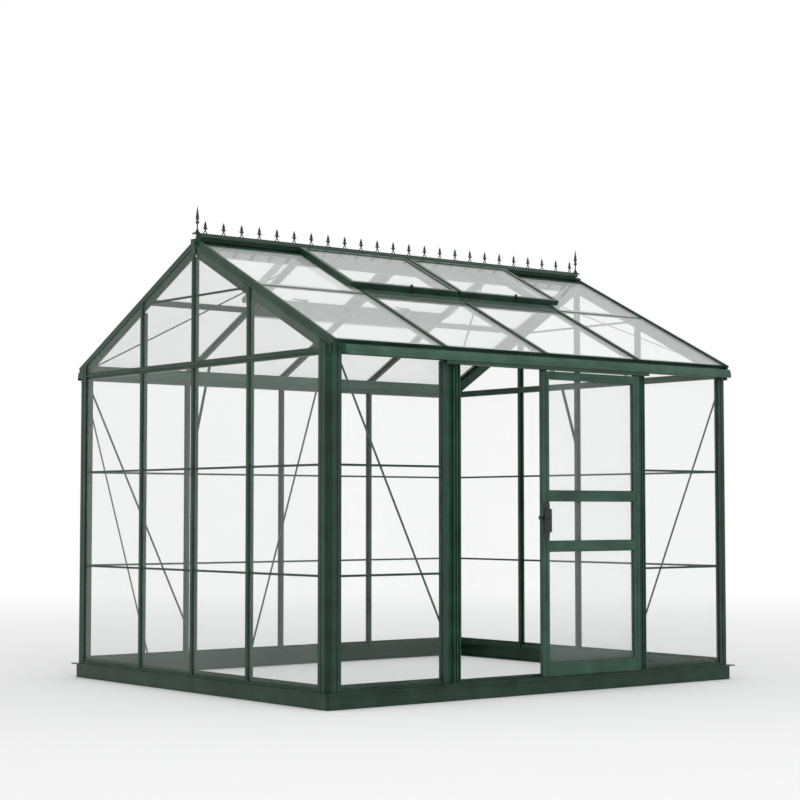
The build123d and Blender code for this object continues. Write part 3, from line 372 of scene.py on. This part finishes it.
# (radius, height) up the spear, against its widest radius and its whole height
turned = [(0.0, 0.0), (1.0, 0.0), (1.0, 0.030), (0.86, 0.038), (0.62, 0.044), (0.60, 0.085),
          (0.66, 0.095), (0.60, 0.105), (0.34, 0.120), (0.26, 0.160), (0.24, 0.300), (0.30, 0.345),
          (0.62, 0.365),
          (0.74, 0.390), (0.72, 0.415), (0.50, 0.435), (0.34, 0.455), (0.34, 0.475), (0.58, 0.515),
          (0.64, 0.550), (0.60, 0.600), (0.44, 0.720), (0.26, 0.850), (0.10, 0.960), (0.0, 1.0)]
FACETS = 28
spears = bmesh.new()
for centre in (finial_low.x + finial_wide, finial_high.x - finial_wide):
    rings = []
    for radius, height in turned:
        ring = []
        for step in range(FACETS):
            angle = 2 * math.pi * step / FACETS
            ring.append(spears.verts.new((centre + finial_wide * radius * math.cos(angle),
                                          finial_wide * radius * math.sin(angle),
                                          finial_low.z + finial_tall * height)))
        rings.append(ring)
    for one, two in zip(rings, rings[1:]):
        for step in range(FACETS):
            after = (step + 1) % FACETS
            spears.faces.new((one[step], one[after], two[after], two[step]))
bmesh.ops.remove_doubles(spears, verts=spears.verts, dist=1e-7)
bmesh.ops.dissolve_degenerate(spears, edges=spears.edges, dist=1e-7)
finials = to_object("turned_finials", spears, cast_coat, 40.0)
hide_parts("ridge_finials")
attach(finials, "frame")

# ---------------------------------------------------------------- glass
# 4 mm clear horticultural glass, held in the bar slots.  It is nearly colourless, with a faint ripple,
# a light bloom of dust and reflections that grow towards a glancing view.


def bloom_group():
    """Glass surface: a slow ripple for the bump and soft patches of bloom."""
    group = bpy.data.node_groups.new("GlassBloom", "ShaderNodeTree")
    group.interface.new_socket("Vector", in_out="INPUT", socket_type="NodeSocketVector")
    group.interface.new_socket("Amount", in_out="INPUT", socket_type="NodeSocketFloat")
    group.interface.new_socket("Bloom", in_out="OUTPUT", socket_type="NodeSocketFloat")
    group.interface.new_socket("Ripple", in_out="OUTPUT", socket_type="NodeSocketFloat")
    add, link = group.nodes.new, group.links.new
    given, out = add("NodeGroupInput"), add("NodeGroupOutput")
    patch = add("ShaderNodeTexNoise")
    patch.inputs["Scale"].default_value = 1.8
    patch.inputs["Detail"].default_value = 5.0
    ripple = add("ShaderNodeTexNoise")
    ripple.inputs["Scale"].default_value = 2.6
    ripple.inputs["Detail"].default_value = 1.0
    clear = add("ShaderNodeMapRange")
    clear.inputs["From Min"].default_value = 0.40
    clear.inputs["From Max"].default_value = 0.75
    scaled = add("ShaderNodeMath")
    scaled.operation = "MULTIPLY"
    link(given.outputs["Vector"], patch.inputs["Vector"])
    link(given.outputs["Vector"], ripple.inputs["Vector"])
    link(patch.outputs["Fac"], clear.inputs["Value"])
    link(clear.outputs["Result"], scaled.inputs[0])
    link(given.outputs["Amount"], scaled.inputs[1])
    link(scaled.outputs[0], out.inputs["Bloom"])
    link(ripple.outputs["Fac"], out.inputs["Ripple"])
    return group


bloom = bloom_group()


def glazed(name, tint, body, glance, dust):
    """Clear glass: see-through head on and mirror-like at a glance."""
    material = bpy.data.materials.new(name)
    material.use_nodes = True
    tree = material.node_tree
    shader = tree.nodes["Principled BSDF"]
    shader.inputs["Base Color"].default_value = (*tint, 1.0)
    shader.inputs["IOR"].default_value = 1.5
    where = tree.nodes.new("ShaderNodeTexCoord")
    film = tree.nodes.new("ShaderNodeGroup")
    film.node_tree = bloom
    film.inputs["Amount"].default_value = dust
    facing = tree.nodes.new("ShaderNodeLayerWeight")
    facing.inputs["Blend"].default_value = 0.5
    steep = tree.nodes.new("ShaderNodeMath")
    steep.operation = "POWER"
    steep.inputs[1].default_value = 2.0
    rim = tree.nodes.new("ShaderNodeMath")
    rim.operation = "MULTIPLY_ADD"
    rim.inputs[1].default_value = glance
    rim.inputs[2].default_value = body
    cover = tree.nodes.new("ShaderNodeMath")
    cover.operation = "ADD"
    cover.use_clamp = True
    rough = tree.nodes.new("ShaderNodeMath")
    rough.operation = "MULTIPLY_ADD"
    rough.inputs[1].default_value = 2.5
    rough.inputs[2].default_value = 0.02
    bump = tree.nodes.new("ShaderNodeBump")
    bump.inputs["Strength"].default_value = 0.25
    bump.inputs["Distance"].default_value = 0.002
    link = tree.links.new
    link(where.outputs["Object"], film.inputs["Vector"])
    link(facing.outputs["Facing"], steep.inputs[0])
    link(steep.outputs[0], rim.inputs[0])
    link(rim.outputs[0], cover.inputs[0])
    link(film.outputs["Bloom"], cover.inputs[1])
    link(film.outputs["Bloom"], rough.inputs[0])
    link(rough.outputs[0], shader.inputs["Roughness"])
    link(cover.outputs[0], shader.inputs["Alpha"])
    link(film.outputs["Ripple"], bump.inputs["Height"])
    link(bump.outputs["Normal"], shader.inputs["Normal"])
    return material


wall_glass = glazed("wall glass", (0.56, 0.61, 0.59), 0.020, 0.36, 0.010)
roof_glass = glazed("roof glass", (0.76, 0.79, 0.78), 0.030, 0.50, 0.015)
finish_node(["glass_front", "glass_back", "glass_gables", "glass_door"], wall_glass)
vent_panes = [name for name in nodes if name.startswith("vent_glass")]
finish_node(["glass_roof"] + vent_panes, roof_glass)

# ---------------------------------------------------------------- pane joints and glazing seals
# Slim extruded strips join the panes one above the other.  Black rubber seals show as a fine line where
# the glass meets the posts, the door frame and the roof edge.
strip_coat = coated("joint strip coat", (0.008, 0.026, 0.018), (0.020, 0.056, 0.040), "x", rough=0.40)
finish_node(["glass_joint_strips"], strip_coat)
seal_rubber = moulded("seal rubber", (0.008, 0.009, 0.009), 0.62, 700.0, 0.4)

seal_tree, given, out = tree_with("SealBead", (
    ("Radius", "NodeSocketFloat"), ("Finish", "NodeSocketMaterial")))
path = seal_tree.nodes.new("GeometryNodeMeshToCurve")
section = seal_tree.nodes.new("GeometryNodeCurvePrimitiveCircle")
section.inputs["Resolution"].default_value = 6
swept = seal_tree.nodes.new("GeometryNodeCurveToMesh")
swept.inputs["Fill Caps"].default_value = True
paint = seal_tree.nodes.new("GeometryNodeSetMaterial")
real = seal_tree.nodes.new("GeometryNodeRealizeInstances")
wire(seal_tree,
     (given, "Geometry", path, "Mesh"), (given, "Radius", section, "Radius"),
     (path, "Curve", swept, "Curve"), (section, "Curve", swept, "Profile Curve"),
     (swept, "Mesh", real, "Geometry"), (real, "Geometry", paint, "Geometry"),
     (given, "Finish", paint, "Material"), (paint, "Geometry", out, "Geometry"))


def seals(name, lines, radius, body, finish):
    """Rubber beads along straight lines, as one piece on one body."""
    points = []
    edges = []
    for start, end in lines:
        edges.append((len(points), len(points) + 1))
        points += [start, end]
    seed = bpy.data.meshes.new(name + " path")
    seed.from_pydata(points, edges, [])
    made = grow(name, seal_tree, {"Radius": radius, "Finish": finish}, seed)
    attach(made, body)
    return made


post_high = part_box("corner_posts")[1]
half_l, half_w = post_high.x, post_high.y
bead_in = 0.0085        # a bead's middle lies this far in from the outer face
post_edge = 0.0895      # where the glass meets a post, in from the corner
eave_z = 1.834          # underside of the eave rails
gable_drop = 0.002      # the gable eaves bars lie this much lower
foot_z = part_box("sills")[1].z
lines = []
for side_x in (-1, 1):
    for side_y in (-1, 1):
        x = side_x * (half_l - post_edge)
        y = side_y * (half_w - bead_in)
        lines.append(((x, y, foot_z), (x, y, eave_z)))
        x = side_x * (half_l - bead_in)
        y = side_y * (half_w - post_edge)
        lines.append(((x, y, foot_z), (x, y, eave_z - gable_drop)))
seals("post_seals", lines, 0.0028, "frame", seal_rubber)
edge_low, edge_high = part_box("roof_edge_strips")
bar_pitch = 0.740
bar_half = 0.017        # half the room that a roof bar takes between two beads
bays = [(edge_low.x, -bar_pitch - bar_half), (-bar_pitch + bar_half, -bar_half),
        (bar_half, bar_pitch - bar_half), (bar_pitch + bar_half, edge_high.x)]
edge_in, edge_up = 0.0045, 0.0012
lines = []
for side_y in (-1, 1):
    y, z = side_y * (edge_high.y - edge_in), edge_high.z + edge_up
    for start, end in bays:
        lines.append(((start, y, z), (end, y, z)))
seals("roof_edge_seals", lines, 0.0030, "frame", seal_rubber)

# ---------------------------------------------------------------- bracing, bolts and studs
# Flat straps brace the walls and roof on the slant, each pulled tight by a bolt at both ends.
# The straps are coated; the door hangers are plain zinc-bright alloy, and the bolts and nuts blackened
# zinc.
brace_coat = coated("brace coat", (0.010, 0.036, 0.026), (0.028, 0.080, 0.056), "z", mottle=0.7)
finish_node(["wall_braces", "roof_braces"], brace_coat)


def bright_alloy(name, color, rough):
    """Bare alloy with fine turning marks."""
    material = bpy.data.materials.new(name)
    material.use_nodes = True
    tree = material.node_tree
    shader = tree.nodes["Principled BSDF"]
    shader.inputs["Metallic"].default_value = 1.0
    where = tree.nodes.new("ShaderNodeTexCoord")
    marks = tree.nodes.new("ShaderNodeTexNoise")
    marks.inputs["Scale"].default_value = 420.0
    marks.inputs["Detail"].default_value = 4.0
    tone = tree.nodes.new("ShaderNodeMix")
    tone.data_type = "RGBA"
    tone.inputs["A"].default_value = (*[c * 0.75 for c in color], 1.0)
    tone.inputs["B"].default_value = (*color, 1.0)
    gloss = tree.nodes.new("ShaderNodeMapRange")
    gloss.inputs["To Min"].default_value = rough - 0.08
    gloss.inputs["To Max"].default_value = rough + 0.14
    link = tree.links.new
    link(where.outputs["Object"], marks.inputs["Vector"])
    link(marks.outputs["Fac"], tone.inputs["Factor"])
    link(marks.outputs["Fac"], gloss.inputs["Value"])
    link(tone.outputs["Result"], shader.inputs["Base Color"])
    link(gloss.outputs["Result"], shader.inputs["Roughness"])
    return material


zinc = bright_alloy("bright zinc", (0.42, 0.43, 0.44), 0.34)
dark_zinc = bright_alloy("blackened zinc", (0.06, 0.065, 0.06), 0.42)
finish_node(["frame_bolts"], dark_zinc)
finish_node(["door_hangers"], zinc)

# ---------------------------------------------------------------- doorway and door leaf
# The sliding door is a welded aluminium frame with two middle rails, hung from rollers in a track under
# the gutter.  Ribbed jambs stand on both sides of the opening.
door_deep = (0.009, 0.038, 0.022)
door_bright = (0.030, 0.094, 0.058)
door_coat = coated("door coat", door_deep, door_bright, "z", rough=0.34, relief=0.5)
rail_coat = coated("door rail coat", door_deep, door_bright, "x", rough=0.34, relief=0.5)
finish_node(["door_jamb", "door_stop_post", "door_stiles"], door_coat)
finish_node(["door_rails", "door_track"], rail_coat)
nylon = moulded("roller nylon", (0.62, 0.60, 0.56), 0.38, 500.0, 0.2)
finish_node(["door_roller_left", "door_roller_right"], nylon)
stile_low, stile_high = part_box("door_stiles")
stile_wide = 0.050
face_y = stile_low.y
pane_heights = ((0.173, 0.793), (0.853, 1.076), (1.136, 1.763))
pane_lines = []
inner_left, inner_right = stile_low.x + stile_wide, stile_high.x - stile_wide
y = face_y + bead_in
for low, high in pane_heights:
    corners = [(inner_left, y, low), (inner_right, y, low),
               (inner_right, y, high), (inner_left, y, high)]
    pane_lines += list(zip(corners, corners[1:] + corners[:1]))
seals("door_seals", pane_lines, 0.0022, "door", seal_rubber)

# ---------------------------------------------------------------- screws
# Blackened pan head screws with a cross recess: in the door where each rail meets its stiles, and
# through the gutter end caps.  One head is repeated at every place.  The recess is painted shade: a
# black cross standing just proud of the head in place of a shaded hollow.
HEAD_SIDES = 14
CROWN_SHARE = 0.62      # the top of a head against its foot
RECESS_LONG = 1.1       # the cross recess, against the head's radius
RECESS_SLIM = 0.26
RECESS_TALL = 2.08      # its two blocks stand just proud of the head
screw_tree, given, out = tree_with("PanHeadScrews", (
    ("Head Radius", "NodeSocketFloat"), ("Head Height", "NodeSocketFloat"),
    ("Turn", "NodeSocketRotation"),
    ("Finish", "NodeSocketMaterial"), ("Recess Shade Finish", "NodeSocketMaterial")))
head = screw_tree.nodes.new("GeometryNodeMeshCone")
head.inputs["Vertices"].default_value = HEAD_SIDES
crown = screw_tree.nodes.new("ShaderNodeMath")
crown.operation = "MULTIPLY"
crown.inputs[1].default_value = CROWN_SHARE
head_paint = screw_tree.nodes.new("GeometryNodeSetMaterial")
bars = []
for wide, deep_bar in ((RECESS_LONG, RECESS_SLIM), (RECESS_SLIM, RECESS_LONG)):
    size = screw_tree.nodes.new("ShaderNodeCombineXYZ")
    for socket, share in (("X", wide), ("Y", deep_bar)):
        scale = screw_tree.nodes.new("ShaderNodeMath")
        scale.operation = "MULTIPLY"
        scale.inputs[1].default_value = share
        screw_tree.links.new(given.outputs["Head Radius"], scale.inputs[0])
        screw_tree.links.new(scale.outputs[0], size.inputs[socket])
    tall = screw_tree.nodes.new("ShaderNodeMath")
    tall.operation = "MULTIPLY"
    tall.inputs[1].default_value = RECESS_TALL
    screw_tree.links.new(given.outputs["Head Height"], tall.inputs[0])
    screw_tree.links.new(tall.outputs[0], size.inputs["Z"])
    cube = screw_tree.nodes.new("GeometryNodeMeshCube")
    screw_tree.links.new(size.outputs["Vector"], cube.inputs["Size"])
    bars.append(cube)
# The recess blocks are painted black as painted shade in the recess.
cross = screw_tree.nodes.new("GeometryNodeJoinGeometry")
recess_shade_paint = screw_tree.nodes.new("GeometryNodeSetMaterial")
whole = screw_tree.nodes.new("GeometryNodeJoinGeometry")
placed = screw_tree.nodes.new("GeometryNodeInstanceOnPoints")
real = screw_tree.nodes.new("GeometryNodeRealizeInstances")
wire(screw_tree,
     (given, "Head Radius", head, "Radius Bottom"), (given, "Head Radius", crown, 0),
     (crown, 0, head, "Radius Top"), (given, "Head Height", head, "Depth"),
     (head, "Mesh", head_paint, "Geometry"), (given, "Finish", head_paint, "Material"),
     *[(bar, "Mesh", cross, "Geometry") for bar in bars],
     (cross, "Geometry", recess_shade_paint, "Geometry"),
     (given, "Recess Shade Finish", recess_shade_paint, "Material"),
     (head_paint, "Geometry", whole, "Geometry"), (recess_shade_paint, "Geometry", whole, "Geometry"),
     (given, "Geometry", placed, "Points"), (whole, "Geometry", placed, "Instance"),
     (given, "Turn", placed, "Rotation"), (placed, "Instances", real, "Geometry"),
     (real, "Geometry", out, "Geometry"))


def screws(name, places, turn, radius, height, body, finish):
    """Screw heads at the given places, all facing one way."""
    seed = bpy.data.meshes.new(name + " places")
    seed.from_pydata(places, [], [])
    # The recess gets the black polymer as painted shade.
    made = grow(name, screw_tree, {"Head Radius": radius, "Head Height": height, "Turn": turn,
                                   "Finish": finish, "Recess Shade Finish": black_polymer}, seed)
    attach(made, body)
    return made


proud = 0.0001          # a head stands this far off its face
faces_front = (math.pi / 2, 0.0, 0.0)
faces_left = (0.0, -math.pi / 2, 0.0)
rail_screws = (0.118, 0.154, 0.808, 0.838, 1.091, 1.121, 1.778)
stile_in = 0.036        # from a stile's outer edge
door_places = []
for z in rail_screws:
    for x in (stile_low.x + stile_in, stile_high.x - stile_in):
        door_places.append((x, face_y - proud, z))
screws("door_face_screws", door_places, faces_front, 0.0042, 0.0022, "door", dark_zinc)
side_places = [(stile_low.x - proud, face_y + 0.013, z) for z in rail_screws]
screws("door_edge_screws", side_places, faces_left, 0.0048, 0.0024, "door", dark_zinc)
cap_screw_z = 1.866
cap_places = []
for side_y, cap_in in ((-1, 0.080), (1, 0.020)):
    for y in (1.313, 1.339):
        cap_places.append((cap_in - half_l - proud, side_y * y, cap_screw_z))
screws("gutter_cap_screws", cap_places, faces_left, 0.0045, 0.0022, "frame", dark_zinc)

# ---------------------------------------------------------------- handle and latch
# A moulded black pull handle is screwed to the front of the left stile.  A steel lock barrel turns in
# it, with a short tongue that swings past the edge of the door.
handle_black = moulded("handle black", (0.004, 0.0045, 0.0045), 0.36, 900.0, 0.3)
latch_black = bright_alloy("latch steel", (0.05, 0.05, 0.05), 0.36)
finish_node(["door_handle"], handle_black)
finish_node(["door_latch"], latch_black)
weld = nodes["door_handle"].modifiers.new("weld", "WELD")
weld.merge_threshold = 0.00002
round_edges = nodes["door_handle"].modifiers.new("rounded edges", "BEVEL")
round_edges.width = 0.0035
round_edges.segments = 3
round_edges.limit_method = "ANGLE"
round_edges.angle_limit = math.radians(30)
round_edges.use_clamp_overlap = True

# ---------------------------------------------------------------- roof vents
# Four top-hung vents in light aluminium frames turn on a round bead in the ridge.  A black casement
# stay hangs on each bottom rail, with a strap bracket over the rail and a peg on the sill below.
vent_coat = coated("vent coat", green_deep, green_bright, "x", rough=0.33)
finish_node([name for name in nodes if name.startswith("vent_frame")], vent_coat)
finish_node([name for name in nodes if name.startswith("vent_stay")] + ["stay_pegs"], handle_black)
apex_z = 2.575


def roof_point(side_y, along, down, out):
    """Place on a roof slope: along X, down the slope from the apex, out of the bar caps."""
    y = down * math.cos(ROOF_TILT) + out * math.sin(ROOF_TILT)
    z = apex_z - down * math.sin(ROOF_TILT) + out * math.cos(ROOF_TILT)
    return (along, side_y * y, z)


# Blocks of a clip: half its width, its start and end down the slope, then its start and end out of
# the bar caps.
clip_strap = (0.0075, 0.6131, 0.6170, 0.0020, 0.0320)
clip_saddle = (0.0075, 0.5900, 0.6170, 0.0302, 0.0330)
clip_knuckle = (0.0045, 0.5940, 0.6060, 0.0330, 0.0420)


def stay_clip(name, side_y, middle, body):
    """Moulded clip of a casement stay: a strap over the rail, a saddle on top and a raised knuckle."""
    clip = bmesh.new()
    for wide, down_from, down_to, out_from, out_to in (clip_strap, clip_saddle, clip_knuckle):
        corners = []
        for along in (middle - wide, middle + wide):
            for down, out in ((down_from, out_from), (down_to, out_from),
                              (down_to, out_to), (down_from, out_to)):
                corners.append(clip.verts.new(roof_point(side_y, along, down, out)))
        near, far = corners[:4], corners[4:]
        clip.faces.new(near)
        clip.faces.new(list(reversed(far)))
        for step in range(4):
            clip.faces.new((near[step], far[step], far[(step + 1) % 4], near[(step + 1) % 4]))
    made = to_object(name, clip, handle_black)
    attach(made, body)


rail_middles = (("left", -0.360), ("right", 0.460))
for side_y, side_name in ((-1, "front"), (1, "back")):
    for hand, middle in rail_middles:
        vent = "%s_%s" % (side_name, hand)
        stay_clip("stay_clip_" + vent, side_y, middle, "vent_" + vent)

# ---------------------------------------------------------------- floor, light and camera
# A pale seamless studio floor that fades to white, an even white world and one broad overhead softbox.
floor_tone = (0.80, 0.80, 0.805, 1.0)
black = (0.0, 0.0, 0.0, 1.0)
white = (1.0, 1.0, 1.0, 1.0)
fade_near, fade_far = 2.5, 14.0
floor_mesh = bmesh.new()
bmesh.ops.create_circle(floor_mesh, cap_ends=True, cap_tris=False, segments=64, radius=90.0)
floor_data = bpy.data.meshes.new("studio_floor")
floor_mesh.to_mesh(floor_data)
floor_mesh.free()
floor = bpy.data.objects.new("studio_floor", floor_data)
bpy.context.scene.collection.objects.link(floor)
floor_paint = bpy.data.materials.new("studio floor")
floor_paint.use_nodes = True
tree = floor_paint.node_tree
shader = tree.nodes["Principled BSDF"]
shader.inputs["Roughness"].default_value = 0.7
shader.inputs["Specular IOR Level"].default_value = 0.0
shader.inputs["Emission Strength"].default_value = 1.0
where = tree.nodes.new("ShaderNodeTexCoord")
reach = tree.nodes.new("ShaderNodeVectorMath")
reach.operation = "LENGTH"
fade = tree.nodes.new("ShaderNodeMapRange")
fade.interpolation_type = "SMOOTHSTEP"
fade.inputs["From Min"].default_value = fade_near
fade.inputs["From Max"].default_value = fade_far
glow = tree.nodes.new("ShaderNodeMix")
glow.data_type = "RGBA"
glow.inputs["A"].default_value = black
glow.inputs["B"].default_value = white
dim = tree.nodes.new("ShaderNodeMix")
dim.data_type = "RGBA"
dim.inputs["A"].default_value = floor_tone
dim.inputs["B"].default_value = black
wire(tree,
     (where, "Object", reach, 0), (reach, "Value", fade, "Value"),
     (fade, "Result", glow, "Factor"), (fade, "Result", dim, "Factor"),
     (glow, "Result", shader, "Emission Color"), (dim, "Result", shader, "Base Color"))
floor_data.materials.append(floor_paint)

world = bpy.data.worlds.new("studio")
world.use_nodes = True
world.node_tree.nodes["Background"].inputs["Color"].default_value = white
world.node_tree.nodes["Background"].inputs["Strength"].default_value = 1.0
bpy.context.scene.world = world
bpy.context.scene.view_settings.view_transform = "Standard"


def softbox(name, place, target, size, power):
    """Square lamp turned towards a target."""
    lamp = bpy.data.lights.new(name, "AREA")
    lamp.shape = "SQUARE"
    lamp.size = size
    lamp.energy = power
    made = bpy.data.objects.new(name, lamp)
    made.location = place
    made.rotation_euler = (Vector(target) - Vector(place)).to_track_quat("-Z", "Y").to_euler()
    bpy.context.scene.collection.objects.link(made)


softbox("overhead softbox", (-3.0, -6.0, 8.0), (0.0, 0.0, 1.0), 5.0, 140.0)

camera_data = bpy.data.cameras.new("camera")
camera_data.sensor_width = 36.0
camera_data.lens = 86.48
camera_data.clip_end = 300.0
camera = bpy.data.objects.new("camera", camera_data)
camera.location = (-7.3931, -9.2659, 1.0163)
camera.rotation_euler = (math.pi / 2 + 0.0581, 0.0, -0.6729)
bpy.context.scene.collection.objects.link(camera)
bpy.context.scene.camera = camera
